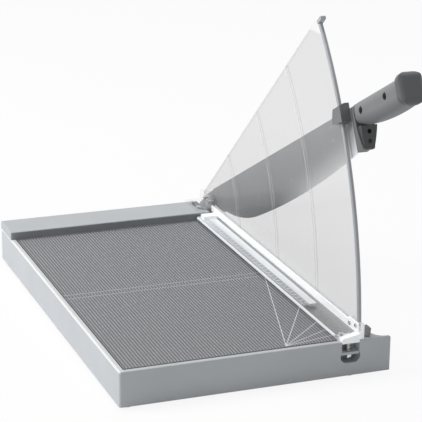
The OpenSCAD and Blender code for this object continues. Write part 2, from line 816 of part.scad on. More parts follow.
// The steel angle under the clamp: its top is level with the rim and its side carries the bed blade
module bed_rail() {
    color("#9b9ea2") in_base() difference() {
        along_y(wing_d, base_d - wing_d) {
            translate([rail_x, base_h - rail_t]) square([rail_w, rail_t]);
            translate([wall_x, base_h - rail_h]) square([rail_t, rail_h]);
        }
        rod_z(pin_x, pin_rear_y, web_z, spring_bore_r, base_h);
        for (y = rail_screw_y)
            rod_z(rail_screw_x, y, cavity_top, screw_r + fit_gap, base_h - pass_gap - cavity_top);
        for (y = blade_screw_y)
            rod_x(wall_x - over, y, blade_screw_z, screw_r + fit_gap, rail_t + 2 * over);
    }
}

module bed_rail_screws() {
    color("silver") in_base() for (y = rail_screw_y)
        translate([rail_screw_x, y, cavity_top])
            pan_screw(screw_r, screw_head_r, base_h - 2 * pass_gap - cavity_top);
}

module bed_blade() {
    chamfer = 1;
    color("#b9bcc0") in_base() difference() {
        along_y(wing_d + fit_gap, blade_end - wing_d) polygon([
            [tray_w, base_h], [cut_x, base_h], [cut_x, base_h - blade_h + chamfer],
            [cut_x - chamfer, base_h - blade_h], [tray_w, base_h - blade_h]
        ]);
        for (y = blade_screw_y)
            translate([cut_x - fit_gap, y, blade_screw_z])
                rotate([0, 90, 0]) flat_screw_hole(screw_r, screw_head_r, blade_t + over);
    }
}

module bed_blade_screws() {
    color("dimgray") in_base() for (y = blade_screw_y)
        translate([cut_x - 2 * fit_gap, y, blade_screw_z])
            rotate([0, 90, 0]) flat_screw(screw_r, screw_head_r, blade_t + rail_t + wall_t);
}

// The clear sheet's side view: a sector about the pivot, cut off level at its foot and upright
// at its rear, with a round upper corner
module sheet_outline() {
    corner_h = sheet_top_offset - sheet_corner_r;
    corner_at = sqrt(pow(sheet_r - sheet_corner_r, 2) - pow(corner_h, 2));
    size = 2 * sheet_r;
    difference() {
        intersection() {
            translate([pivot_y, pivot_z]) circle(r = sheet_r, $fn = large_fn);
            translate([pivot_y, pivot_z]) rotate(-sheet_top_angle)
                translate([-size, sheet_top_offset - size]) square([1.5 * size, size]);
            translate([0, sheet_z]) square([sheet_rear_y, sheet_r]);
        }
        translate([pivot_y, pivot_z]) rotate(-sheet_top_angle) difference() {
            translate([-corner_at - 2 * sheet_corner_r, corner_h])
                square([2 * sheet_corner_r, 2 * sheet_corner_r]);
            translate([-corner_at, corner_h]) circle(r = sheet_corner_r, $fn = 96);
        }
    }
}

module guard_sheet() {
    color([0.88, 0.9, 0.91, 0.6]) in_base() difference() {
        along_x(sheet_x, sheet_t) sheet_outline();
        for (p = sheet_screw_at)
            rod_x(sheet_x - over, p[0], p[1], screw_r + fit_gap, sheet_t + 2 * over);
    }
}

// The trim on the sheet's curved edge: a channel with a chamfered nose and two lips on the sheet
module guard_rim() {
    left = sheet_x - rim_side;
    right = sheet_x + sheet_t + rim_side;
    shoulder = rim_out - rim_chamfer;
    color("#8d9094") in_base() translate([0, pivot_y, pivot_z]) rotate([0, 90, 0])
        rotate_extrude(start = 270 - rim_top, angle = rim_top - rim_bottom, $fn = large_fn)
            difference() {
                polygon([
                    [rim_in, left], [shoulder, left], [rim_out, left + rim_chamfer],
                    [rim_out, right - rim_chamfer], [shoulder, right], [rim_in, right]
                ]);
                translate([0, sheet_x - fit_gap]) square([sheet_r + fit_gap, sheet_t + 2 * fit_gap]);
            }
}

module guard_rail() {
    color("#f2f4f5") in_base() difference() {
        along_y(bracket_end, rear_bracket_y - bracket_end)
            rounded_rect([holder_x, guard_rail_z], [holder_x + guard_rail_w, guard_rail_top], edge_round);
        sheet_groove();
    }
}

// The groove in which the sheet's foot stands, right along the rail and both brackets
module sheet_groove() {
    box(
        [sheet_x - fit_gap, 0, sheet_z - fit_gap],
        [sheet_x + sheet_t + fit_gap, sheet_rear_y + fit_gap, bracket_top + upstand_h + stop_h]
    );
    for (p = sheet_screw_at)
        rod_x(holder_x - over, p[0], p[1], screw_r + fit_gap, over + cut_x - 2 * pass_gap - holder_x);
}

module guard_front_bracket() {
    leg_x = cap_right + pass_gap;
    color("#eef1f3") in_base() difference() {
        union() {
            intersection() {
                box([holder_x, bracket_y, bracket_z], [bracket_right, bracket_end, bracket_top]);
                along_y(0, bracket_end + over)
                    rounded_rect([holder_x, base_h], [bracket_right, bracket_top], edge_round);
                along_x(holder_x, bracket_right - holder_x) rounded_rect(
                    [bracket_y, 0], [bracket_end + 2 * bracket_round, bracket_top], bracket_round
                );
            }
            box([leg_x, bracket_y, base_h], [bracket_right, shelf_end, bracket_z]);
        }
        sheet_groove();
        for (y = bracket_screw_y)
            rod_z(bracket_screw_x, y, base_h - over, screw_r + fit_gap, bracket_z - base_h);
        // A square window at the foot of the leg
        box([leg_x - over, bracket_y - over, base_h + 0.8], [leg_x + 2.4, bracket_y + 2, base_h + 3.6]);
    }
}

module guard_rear_bracket() {
    block_x = stop_w + pass_gap;
    upstand_top = rear_plate_top + upstand_h;
    color("#e4e8ea") in_base() difference() {
        union() {
            box([rear_bracket_x, rear_bracket_y, stop_top], [bracket_right, base_d, rear_plate_top]);
            box([block_x, rear_bracket_y, base_h], [bracket_right, base_d, rear_plate_top]);
            intersection() {
                box([holder_x, rear_bracket_y, stop_top], [bracket_right, base_d, upstand_top]);
                along_x(holder_x, bracket_right - holder_x)
                    rounded_rect([rear_bracket_y, 0], [base_d, upstand_top], bracket_round);
            }
        }
        sheet_groove();
        for (p = rear_screw_at) translate([p[0], p[1], rear_plate_top])
            flat_screw_hole(screw_r, screw_head_r, bracket_plate_t + over);
    }
}

module guard_front_screws() {
    color("silver") in_base() for (y = bracket_screw_y)
        translate([bracket_screw_x, y, bracket_screw_z])
            pan_screw(screw_r, screw_head_r, base_h - bracket_screw_z + 5);
}

module guard_rear_screws() {
    color("silver") in_base() for (p = rear_screw_at)
        translate([p[0], p[1], rear_plate_top]) flat_screw(screw_r, screw_head_r, bracket_plate_t + 6);
}

module guard_sheet_screws() {
    color("dimgray") in_base() for (p = sheet_screw_at)
        translate([holder_x, p[0], p[1]]) rotate([0, 90, 0]) pan_screw(screw_r, 2.4, 6);
}

// The stop at the rim's upper end, on which the guide clip ends the arm's travel
module rim_stop() {
    groove = rim_side + fit_gap;
    cheek = groove + rim_stop_wall;
    color("#8d9094") in_base() translate([0, pivot_y, pivot_z]) rotate([-stop_angle, 0, 0])
        difference() {
            arm_plate(sheet_x - cheek, sheet_t + 2 * cheek)
                rounded_rect([rim_in, 0], [rim_out + rim_stop_reach, rim_stop_h], 1.5);
            rod_x(sheet_x - groove, 0, 0, rim_out + fit_gap, sheet_t + 2 * groove, large_fn);
        }
}

// The bracket behind the base: a foot on the rear wall, a round-ended ear for the pivot and a gusset
module hinge_bracket() {
    color("#70747a") in_base() difference() {
        union() {
            along_y(base_d, hinge_foot_t)
                rounded_rect([hinge_foot_x, hinge_foot_z], [hinge_right, hinge_foot_top], 2);
            along_x(hinge_x, hinge_t) {
                translate([pivot_y, pivot_z]) circle(r = hinge_end_r, $fn = round_fn);
                polygon([
                    [base_d, hinge_foot_z], [base_d, hinge_foot_top], [pivot_y, pivot_z + hinge_end_r],
                    [pivot_y, pivot_z - hinge_end_r]
                ]);
            }
            translate([0, base_d + hinge_foot_t, gusset_z]) linear_extrude(gusset_t)
                polygon([[gusset_x, -over], [hinge_x + over, -over], [hinge_x + over, gusset_d]]);
        }
        rod_x(hinge_x - over, pivot_y, pivot_z, pivot_r + run_gap, hinge_t + 2 * over);
        for (x = hinge_screw_x, z = hinge_screw_z)
            rod_y(x, base_d - over, z, bolt_r + fit_gap, hinge_foot_t + 2 * over);
    }
}

module hinge_bracket_screws() {
    color("silver") in_base() for (x = hinge_screw_x, z = hinge_screw_z)
        translate([x, base_d + hinge_foot_t, z]) rotate([90, 0, 0])
            pan_screw(bolt_r, bolt_head_r, hinge_screw_len);
}

module pivot_bolt() {
    color("silver") in_base() {
        rod_x(hinge_x - pivot_head_h, pivot_y, pivot_z, pivot_head_r, pivot_head_h, 6);
        rod_x(hinge_x - over, pivot_y, pivot_z, pivot_r, over + pivot_end - hinge_x);
    }
}

// A dished spring washer, which keeps the two blades together
module pivot_spring_washer() {
    hole_r = pivot_r + 0.2;
    color("silver") in_base() translate([washer_x, pivot_y, pivot_z]) rotate([0, 90, 0])
        rotate_extrude($fn = round_fn) polygon([
            [hole_r, 0.8], [hole_r, washer_t], [hole_r + 4, washer_t - 0.8], [hole_r + 4, 0]
        ]);
}

module pivot_nut() {
    color("silver") in_base() difference() {
        union() {
            rod_x(pivot_nut_x, pivot_y, pivot_z, pivot_nut_r, pivot_nut_h - 2, 6);
            rod_x(pivot_nut_x, pivot_y, pivot_z, pivot_nut_r - 2, pivot_nut_h);
        }
        rod_x(pivot_nut_x - over, pivot_y, pivot_z, pivot_r + run_gap, pivot_nut_h + 2 * over);
    }
}

// The rubber fin that the arm comes down on
module arm_buffer() {
    color("#3a3c3e") in_base() {
        along_y(buffer_y, buffer_d) polygon([
            [buffer_x, base_h], [buffer_x + 5.5, base_h], [buffer_x + 6.8, buffer_top - 1],
            [buffer_x + 6, buffer_top], [buffer_x + 3.4, buffer_top]
        ]);
        rod_z(
            buffer_stem[0], buffer_stem[1], base_h - buffer_stem_h, buffer_stem_r, buffer_stem_h + over
        );
    }
}

// The clear bar that holds the paper: a bevelled left edge and a round front left corner
module clamp_bar() {
    bevel = 1.5;
    color([0.9, 0.93, 0.94, 0.5]) in_base() difference() {
        intersection() {
            along_y(clamp_front_y, clamp_end - clamp_front_y) polygon([
                [clamp_x, clamp_z], [clamp_right, clamp_z], [clamp_right, clamp_top],
                [clamp_x + bevel, clamp_top], [clamp_x, clamp_top - bevel]
            ]);
            linear_extrude(base_h * 2) {
                translate([clamp_x + clamp_corner_r, 0]) square([clamp_w, base_d]);
                translate([clamp_x, clamp_front_y + clamp_corner_r]) square([clamp_w, base_d]);
                translate([clamp_x + clamp_corner_r, clamp_front_y + clamp_corner_r])
                    circle(r = clamp_corner_r, $fn = round_fn);
            }
        }
        rod_z(pin_x, pin_rear_y, clamp_z - over, spring_stub_r + fit_gap, clamp_t + 2 * over);
        for (p = clamp_screw_at) translate([p[0], p[1], clamp_top])
            flat_screw_hole(screw_r, screw_head_r, clamp_t + over);
    }
}
// The front cap: a crown that rises to the right, a shelf for the clear bar and the pin's bore
module clamp_front_cap() {
    color("#f4f6f7") in_base() difference() {
        union() {
            along_y(0, crown_d) polygon([
                [cap_x, cap_z], [cap_right, cap_z], [cap_right, clamp_z + crown_h - 1],
                [cap_right - 1, clamp_z + crown_h], [cap_x, clamp_z]
            ]);
            box([cap_x, crown_d - over, cap_z], [cap_right, shelf_end, clamp_z]);
        }
        rod_z(pin_x, pin_front_y, cap_z - over, pin_r + run_gap, pin_bury + over + fit_gap);
        for (p = clamp_screw_at) rod_z(p[0], p[1], cap_z + 0.5, screw_r + fit_gap, cap_drop);
    }
}

module clamp_screws() {
    color("silver") in_base() for (p = clamp_screw_at)
        translate([p[0], p[1], clamp_top - run_gap]) flat_screw(screw_r, screw_head_r, clamp_t + 4);
}

// The rear cap: a block on the clear bar, with a round stub that goes through it to the spring
module clamp_rear_cap() {
    color("#f4f6f7") in_base() difference() {
        union() {
            intersection() {
                box([cap_x, rear_cap_y, clamp_top], [rear_cap_right, clamp_end, rear_cap_top]);
                along_x(cap_x, cap_w)
                    rounded_rect([rear_cap_y, cap_z], [clamp_end, rear_cap_top], edge_r);
            }
            rod_z(pin_x, pin_rear_y, cap_z, spring_stub_r, clamp_top + over - cap_z);
        }
        rod_z(pin_x, pin_rear_y, cap_z - over, pin_r + run_gap, pin_bury + over + fit_gap);
    }
}

module clamp_guide_pins() {
    chamfer = 0.6;
    length = cap_z + pin_bury - pin_z;
    color("silver") in_base() for (y = [pin_front_y, pin_rear_y])
        translate([pin_x, y, pin_z]) rotate_extrude($fn = round_fn) polygon([
            [0, 0], [pin_r - chamfer, 0], [pin_r, chamfer], [pin_r, length], [0, length]
        ]);
}

module clamp_nuts() {
    color("silver") in_base() for (y = [pin_front_y, pin_rear_y]) difference() {
        rod_z(pin_x, y, nut_z, nut_flats / 2 / cos(30), nut_h, 6);
        rod_z(pin_x, y, nut_z - over, pin_r + run_gap, nut_h + 2 * over);
    }
}

// A point of a spring's wire, out and up from the helix; i counts the rings along the wire
function coil_point(i, out, up) =
    let (a = 360 * i / spring_rings)
    [
        (spring_r + out) * cos(a) + up * sin(spring_slope) * sin(a),
        (spring_r + out) * sin(a) - up * sin(spring_slope) * cos(a),
        spring_wire / 2 + fit_gap + spring_rise * i / spring_rings + up * cos(spring_slope)
    ];
function coil_ring(i) = [
    for (k = [0 : spring_sides - 1])
        coil_point(i, cos(60 * k) * spring_wire / 2, sin(60 * k) * spring_wire / 2)
];
function ring_gap(i, j) = min([for (p = coil_ring(i), q = coil_ring(j)) norm(p - q)]);

// A compression spring: many-sided rings swept along a helix
module coil_spring() {
    points = [for (i = [0 : spring_steps], p = coil_ring(i)) p];
    last = spring_steps * spring_sides;
    faces = concat(
        [[for (k = [0 : spring_sides - 1]) k]],
        [[for (k = [spring_sides - 1 : -1 : 0]) last + k]],
        [
            for (i = [0 : spring_steps - 1], k = [0 : spring_sides - 1], half = [0, 1])
                let (a = i * spring_sides + k, b = i * spring_sides + (k + 1) % spring_sides)
                half == 0 ? [a, a + spring_sides, b + spring_sides] : [a, b + spring_sides, b]
        ]
    );
    echo(least_gap = min([
        for (i = [0 : spring_steps - spring_rings + 1], j = [i + spring_rings - 1 : spring_steps])
            ring_gap(i, j)
    ]));
    polyhedron(points, faces);
}

module clamp_spring_front() {
    color("#8a8d90") in_base() translate([pin_x, pin_front_y, web_z]) coil_spring();
}

module clamp_spring_rear() {
    color("#8a8d90") in_base() translate([pin_x, pin_rear_y, web_z]) coil_spring();
}

// The beam's side view; inset draws it smaller all round, for the hollow between its edges
module beam_outline(inset = 0) {
    pivot_end = inset == 0 ? 0 : boss_r + 8;
    pivot_r_there = inset == 0 ? boss_r : 10;
    front = inset == 0 ? knife_end : knife_end + over;
    polygon([
        [pivot_end, pivot_r_there], [beam_shoulder + inset, spine_h - inset], [front, spine_h - inset],
        [front, inset - beam_front_h], [beam_front_at - inset / 2, inset - beam_front_h],
        [beam_mid[1] - inset / 2, inset - beam_mid_h], [beam_mid[0] + inset / 2, inset - beam_mid_h],
        [beam_waist[0] + inset / 2, inset - beam_waist[1]], [pivot_end, -pivot_r_there]
    ]);
}

// The cast beam behind the knife: a web with a raised edge, upright ribs and a boss at the pivot
module arm_beam() {
    color("#8f9296") in_arm() difference() {
        union() {
            difference() {
                arm_plate(beam_x, arm_t) beam_outline();
                arm_plate(beam_x + web_t, arm_t) beam_outline(beam_wall);
            }
            rod_x(beam_x, 0, 0, boss_r, arm_t, 96);
            intersection() {
                arm_plate(beam_x, arm_t) beam_outline();
                for (s = beam_ribs) box(
                    [beam_x, -s - beam_wall / 2, -beam_mid_h],
                    [beam_right - over, -s + beam_wall / 2, spine_h]
                );
            }
        }
        rod_x(beam_x - over, 0, 0, bush_r + bush_t + run_gap, arm_t + 2 * over);
        for (p = knife_screw_at)
            rod_x(beam_x - over, -p[0], p[1], knife_screw_r + fit_gap, web_t + 2 * over);
        for (p = clip_screw_at)
            rod_x(beam_x - over, -p[0], p[1], clip_screw_r + fit_gap, web_t + 2 * over);
        for (s = lug_screw_at)
            rod_x(beam_x - over, -s, lug_screw_c, knife_screw_r + fit_gap, web_t + 2 * over);
    }
}

module pivot_bush() {
    color("#b08d57") in_arm() difference() {
        rod_x(bush_left, 0, 0, bush_r + bush_t, bush_right - bush_left);
        rod_x(bush_left - over, 0, 0, bush_r, bush_right - bush_left + 2 * over);
    }
}

// The knife's edge is ground from the right, so its left face stays flat against the bed blade.
// Each part of the edge is a cone whose sharp rim lies in that face.
module edge_cone(centre, r) {
    translate([knife_x, -centre[0], centre[1]]) rotate([0, 90, 0])
        cylinder(r1 = r, r2 = r - bevel_h, h = knife_t, $fn = large_fn);
}

module knife() {
    foot = -2 * belly_h;
    color("#9b9ea1") in_arm() difference() {
        union() {
            intersection() {
                box([knife_x, -knife_end, foot], [beam_x, -edge_joint_at, spine_h]);
                edge_cone(edge_centre, edge_long_r);
            }
            intersection() {
                arm_plate(knife_x, knife_t) polygon([
                    [knife_start + 4, spine_h], [edge_joint_at, spine_h], [edge_joint_at, foot],
                    [knife_start, foot], [knife_start, spine_h - 4]
                ]);
                edge_cone(rear_centre, edge_rear_r);
            }
        }
        for (p = knife_screw_at)
            rod_x(knife_x - over, -p[0], p[1], knife_screw_r + fit_gap, knife_t + 2 * over);
        for (p = clip_screw_at)
            rod_x(knife_x - over, -p[0], p[1], clip_screw_r + fit_gap, knife_t + 2 * over);
        for (s = lug_screw_at)
            rod_x(knife_x + 1, -s, lug_screw_c, knife_screw_r + fit_gap, knife_t);
    }
}

module knife_screws() {
    color("silver") in_arm() for (p = knife_screw_at)
        translate([beam_x + web_t, -p[0], p[1]]) rotate([0, -90, 0])
            pan_screw(knife_screw_r, knife_head_r, web_t + knife_t);
}

// The fork on the knife that runs along the guard's rim and steadies the arm
module guide_clip() {
    foot = clip_top - clip_h;
    rear = clip_front - clip_len;
    slope = 9;
    hook = 3;
    chamfer = 2.6;
    left = knife_x - clip_w;
    slot_side = rim_side + clip_gap;
    color("#4a4d50") in_arm() difference() {
        intersection() {
            arm_plate(left, clip_w) polygon([
                [clip_front, clip_top], [rear, clip_top], [rear - slope, foot + 5],
                [rear - slope + hook, foot + 2], [rear + 4, foot], [clip_front, foot]
            ]);
            along_y(-clip_front - over, clip_len + slope + 2 * over) polygon([
                [knife_x, foot - over], [knife_x, clip_top], [knife_x - clip_w / 2, clip_top],
                [left, clip_top - chamfer], [left, foot - over]
            ]);
        }
        rod_x(sheet_x - slot_side, 0, 0, rim_out + clip_gap, sheet_t + 2 * slot_side, large_fn);
        for (p = clip_screw_at)
            rod_x(left + 2, -p[0], p[1], clip_screw_r + fit_gap, clip_w);
    }
}

module clip_screws() {
    color("silver") in_arm() for (p = clip_screw_at)
        translate([beam_x + web_t, -p[0], p[1]]) rotate([0, -90, 0])
            pan_screw(clip_screw_r, 2.1, web_t + knife_t + clip_w - 3);
}

// The flange seen along the arm: its sides are arcs that draw in towards the foot
module flange_outline(inset = 0) {
    half = flange_w / 2;
    intersection() {
        rounded_rect(
            [flange_x - half + inset, inset - flange_foot], [flange_x + half - inset, flange_top - inset],
            flange_r - inset
        );
        translate([flange_x + flange_side_r - half, flange_wide_c])
            circle(r = flange_side_r - inset, $fn = large_fn);
        translate([flange_x - flange_side_r + half, flange_wide_c])
            circle(r = flange_side_r - inset, $fn = large_fn);
    }
}

// The casting that joins the handle to the arm: a lug in the beam's hollow, a head, the flange that
// keeps the hand off the blade, and a tang for the grip
module handle_bracket() {
    lug_x = beam_x + web_t;
    lug_foot = beam_wall + fit_gap - beam_front_h;
    color("#8b8e92") in_arm() difference() {
        union() {
            arm_plate(lug_x, arm_t - web_t) polygon([
                [lug_screw_at[0], lug_foot], [head_at + over, lug_foot], [head_at + over, lug_top],
                [lug_at, lug_top]
            ]);
            arm_plate(knife_x, knife_t + arm_t) polygon([
                [head_at, spine_h], [flange_at + over, flange_top], [flange_at + over, -head_foot[1]],
                [head_at, -head_foot[0]]
            ]);
            along_y(-flange_end, flange_t) flange_outline();
            arm_plate(tang_x, tang_t) translate([flange_end - over, 0]) square([tang_len, tang_top]);
        }
        for (s = lug_screw_at)
            rod_x(lug_x - over, -s, lug_screw_c, knife_screw_r + fit_gap, arm_t + over);
        for (s = grip_screw_at)
            rod_x(tang_x - over, -s, grip_screw_c, grip_screw_r + fit_gap, tang_t + 2 * over);
        for (c = finger_screw_c)
            rod_y(flange_x, -flange_end - over, c, screw_r + fit_gap, over + finger_screw_len);
    }
}

module handle_bracket_screws() {
    color("silver") in_arm() for (s = lug_screw_at)
        translate([beam_right, -s, lug_screw_c]) rotate([0, -90, 0])
            pan_screw(knife_screw_r, knife_head_r, arm_t + knife_t - over - 2 * fit_gap);
}

// The grip's outer form: straight and round above, bent to a shallow swell below. The inset draws
// its hollow.
module grip_form(inset = 0) {
    low = [grip_left_x + inset, grip_foot + inset];
    high = [grip_left_x + grip_w - inset, grip_top - inset];
    r = grip_round_r - inset;
    intersection() {
        along_y(-grip_end + inset, grip_len - 2 * inset) rounded_rect([low[0], low[1] - 30], high, r);
        translate([0, -swell_at, swell_centre]) rotate([0, 90, 0])
            rotate_extrude(start = 340, angle = 40, $fn = large_fn)
                rounded_rect([swell_r - 2 * grip_h, low[0]], [swell_r - inset, high[0]], r);
        translate([0, 0, grip_foot - 10]) linear_extrude(grip_h + 20)
            rounded_rect([low[0], -grip_end - 20], [high[0], -flange_end - inset], 6);
    }
}

// The hollow of the grip, with bosses round the screws and a bed round the tang
module grip_hollow() {
    difference() {
        grip_form(grip_wall);
        for (s = grip_screw_at) rod_x(grip_left_x, -s, grip_screw_c, grip_head_r + boss_wall, grip_w);
        for (s = grip_rib_at)
            box([grip_left_x, -s - 1, grip_foot], [grip_left_x + grip_w, -s + 1, grip_top]);
    }
    box(
        [tang_x - fit_gap, -flange_end - tang_len - fit_gap, -fit_gap],
        [tang_x + tang_t + fit_gap, -flange_end + over, tang_top + fit_gap]
    );
    for (s = grip_screw_at) {
        rod_x(grip_left_x - over, -s, grip_screw_c, grip_screw_r + fit_gap, grip_w - 1);
        rod_x(grip_left_x - over, -s, grip_screw_c, grip_head_r + fit_gap, grip_head_sink + over);
    }
}

// The plug of the end cap, with the room that it needs
module cap_plug(gap = 0) {
    plug = grip_wall - 1;
    along_y(-grip_end - over, plug_len + over + gap) rounded_rect(
        [grip_left_x + plug - gap, grip_foot + plug + 2 - gap],
        [grip_left_x + grip_w - plug + gap, grip_top - plug + gap], grip_round_r - plug
    );
}

// The room of one half of the grip, from x0 on
module grip_half(x0) {
    box([x0, -grip_end - over, grip_foot - over], [x0 + grip_w, -flange_end + over, grip_top + over]);
}

module grip_left() {
    color("#85888c") in_arm() difference() {
        grip_form();
        grip_hollow();
        cap_plug(fit_gap);
        grip_half(grip_x);
    }
}

module grip_right() {
    color("#85888c") in_arm() difference() {
        grip_form();
        grip_hollow();
        cap_plug(fit_gap);
        grip_half(grip_x - grip_w);
    }
}

module grip_screws() {
    color("#202224") in_arm() for (s = grip_screw_at)
        translate([grip_left_x + grip_head_sink, -s, grip_screw_c]) rotate([0, 90, 0])
            pan_screw(grip_screw_r, grip_head_r, grip_screw_len);
}

// The dark cap on the grip's end: a domed knob, a little larger than the grip, with its plug
module grip_end_cap() {
    back_r = 1.5;
    dome = cap_len - back_r;
    low = [grip_left_x - cap_flare, grip_foot + cap_lift];
    high = [grip_left_x + grip_w + cap_flare, grip_top + cap_rise];
    far = grip_end + cap_len;
    color("#505356") in_arm() {
        intersection() {
            along_y(-far, cap_len) rounded_rect(low, high, grip_round_r);
            // Domed in front and eased at the back, seen from the side
            arm_plate(low[0], high[0] - low[0]) intersection() {
                rounded_rect([grip_end - 2 * dome, low[1]], [far, high[1]], dome);
                rounded_rect([grip_end, low[1]], [far + dome, high[1]], back_r);
            }
            // The same, seen from above
            translate([0, 0, low[1]]) linear_extrude(high[1] - low[1]) intersection() {
                rounded_rect([low[0], -far], [high[0], 2 * dome - grip_end], dome);
                rounded_rect([low[0], -far - dome], [high[0], -grip_end], back_r);
            }
        }
        cap_plug();
    }
}

// The pad that keeps the fingers forward: it follows the flange's outline, and its front face slopes
// back to its foot
module finger_guard() {
    color("#3c3f42") in_arm() difference() {
        intersection() {
            along_y(-flange_end - finger_d, finger_d) flange_outline(finger_inset);
            arm_plate(grip_left_x, grip_w) polygon([
                [flange_end, finger_top], [flange_end + finger_d, finger_top],
                [flange_end + finger_foot_d, -finger_foot], [flange_end, -finger_foot]
            ]);
        }
        translate([grip_left_x - over, -swell_at, swell_centre]) rotate([0, 90, 0])
            cylinder(r = swell_r + fit_gap, h = grip_w + 2 * over, $fn = large_fn);
        for (c = finger_screw_c) {
            rod_y(flange_x, -flange_end - finger_d - over, c, screw_r + fit_gap, finger_d + 2 * over);
            rod_y(
                flange_x, -flange_end - finger_d - over, c, finger_head_r + fit_gap,
                finger_d + over - finger_seat
            );
        }
    }
}

module finger_guard_screws() {
    color("#202224") in_arm() for (c = finger_screw_c)
        translate([flange_x, -flange_end - finger_seat, c]) rotate([-90, 0, 0])
            pan_screw(screw_r, finger_head_r, finger_seat + finger_screw_len - over);
}

base_housing();
bottom_plate();
bottom_screws();
foot(foot_inset_x, foot_inset_y);  // foot_front_left
foot(foot_right_x, foot_inset_y);  // foot_front_right
foot(foot_inset_x, foot_rear_y);  // foot_rear_left
foot(foot_right_x, foot_rear_y);  // foot_rear_right
ribbed_mat();
paper_stop();
stop_strip();
paper_stop_screws();
bed_rail();
bed_rail_screws();
bed_blade();
bed_blade_screws();
guard_sheet();
guard_rim();
guard_rail();
guard_front_bracket();
guard_rear_bracket();
guard_front_screws();
guard_rear_screws();
guard_sheet_screws();
rim_stop();
hinge_bracket();
hinge_bracket_screws();
pivot_bolt();
pivot_spring_washer();
pivot_nut();
arm_buffer();
clamp_bar();
clamp_front_cap();
clamp_rear_cap();
clamp_guide_pins();
clamp_nuts();
clamp_screws();
clamp_spring_front();
clamp_spring_rear();
arm_beam();
pivot_bush();
knife();
knife_screws();
guide_clip();
clip_screws();
handle_bracket();
handle_bracket_screws();
grip_left();
grip_right();
grip_screws();
grip_end_cap();
finger_guard();
finger_guard_screws();
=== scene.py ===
"""The looks of a paper trimmer: finishes, printed marks, springs, light and the camera.

Lengths are millimetres from the base's front left corner, unless a name says metres.
"""

import json
import math

import bmesh
import bpy
from mathutils import Matrix, Vector


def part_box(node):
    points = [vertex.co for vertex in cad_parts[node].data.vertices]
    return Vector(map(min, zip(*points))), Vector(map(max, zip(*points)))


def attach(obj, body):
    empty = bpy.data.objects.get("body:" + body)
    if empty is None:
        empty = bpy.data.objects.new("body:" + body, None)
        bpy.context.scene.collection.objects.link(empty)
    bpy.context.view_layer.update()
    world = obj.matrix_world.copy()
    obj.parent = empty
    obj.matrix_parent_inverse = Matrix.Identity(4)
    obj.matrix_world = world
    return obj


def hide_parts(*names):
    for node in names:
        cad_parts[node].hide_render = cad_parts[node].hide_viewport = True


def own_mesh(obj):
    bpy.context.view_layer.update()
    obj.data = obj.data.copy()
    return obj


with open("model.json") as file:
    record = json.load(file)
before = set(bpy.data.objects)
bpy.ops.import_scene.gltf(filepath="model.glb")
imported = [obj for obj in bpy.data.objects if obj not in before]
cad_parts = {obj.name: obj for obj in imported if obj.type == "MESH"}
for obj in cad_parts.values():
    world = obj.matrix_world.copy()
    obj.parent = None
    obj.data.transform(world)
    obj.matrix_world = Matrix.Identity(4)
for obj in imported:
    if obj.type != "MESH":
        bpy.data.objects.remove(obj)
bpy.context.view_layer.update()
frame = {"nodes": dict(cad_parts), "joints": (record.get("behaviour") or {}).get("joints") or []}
nodes = frame["nodes"]
joints = {joint["name"]: joint for joint in frame["joints"]}

# The base's corner and the arm's pivot, from the frame
MM = 0.001
BASE_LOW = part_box("base_housing")[0]
PIVOT = (Vector(joints["arm_pivot"]["pos_m"]) - BASE_LOW) / MM

# The knife as the source cuts it: the arm's rise at rest, how far out its edge hangs lowest and
# how far down, and the edge's radius
ARM_LIFT = math.radians(27.32)
BELLY_AT = 305
BELLY_DROP = 45.7
EDGE_RADIUS = 2000


def place(x, y, z):
    """A point given in millimetres from the base's corner, in the frame's metres."""
    return BASE_LOW + Vector((x, y, z)) * MM


def node_box(name):
    """A node's box in millimetres from the base's corner."""
    low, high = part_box(name)
    return (low - BASE_LOW) / MM, (high - BASE_LOW) / MM


# The camera stands where the photograph's did, a little left of the trimmer and above it
CAMERA_AT = (-526.3, -1658.1, 786.9)
CAMERA_TURN = -20.76
CAMERA_RISE = 17.98
CAMERA_ROLL = 0.63
FOCAL_PIXELS = 1769
PHOTO_WIDTH = 422
SENSOR = 36


def make_camera():
    turn = math.radians(CAMERA_TURN)
    rise = math.radians(CAMERA_RISE)
    roll = math.radians(CAMERA_ROLL)
    level = math.cos(rise)
    back = Vector((math.sin(turn) * level, -math.cos(turn) * level, math.sin(rise)))
    right = Vector((0, 0, 1)).cross(back).normalized()
    up = back.cross(right)
    right, up = (
        right * math.cos(roll) + up * math.sin(roll),
        up * math.cos(roll) - right * math.sin(roll),
    )
    data = bpy.data.cameras.new("photo_camera")
    data.sensor_width = SENSOR
    data.lens = SENSOR * FOCAL_PIXELS / PHOTO_WIDTH
    data.clip_start = 0.05
    data.clip_end = 50
    camera = bpy.data.objects.new("photo_camera", data)
    turned = Matrix((right, up, back)).transposed().to_4x4()
    camera.matrix_world = Matrix.Translation(place(*CAMERA_AT)) @ turned
    bpy.context.scene.collection.objects.link(camera)
    bpy.context.scene.camera = camera


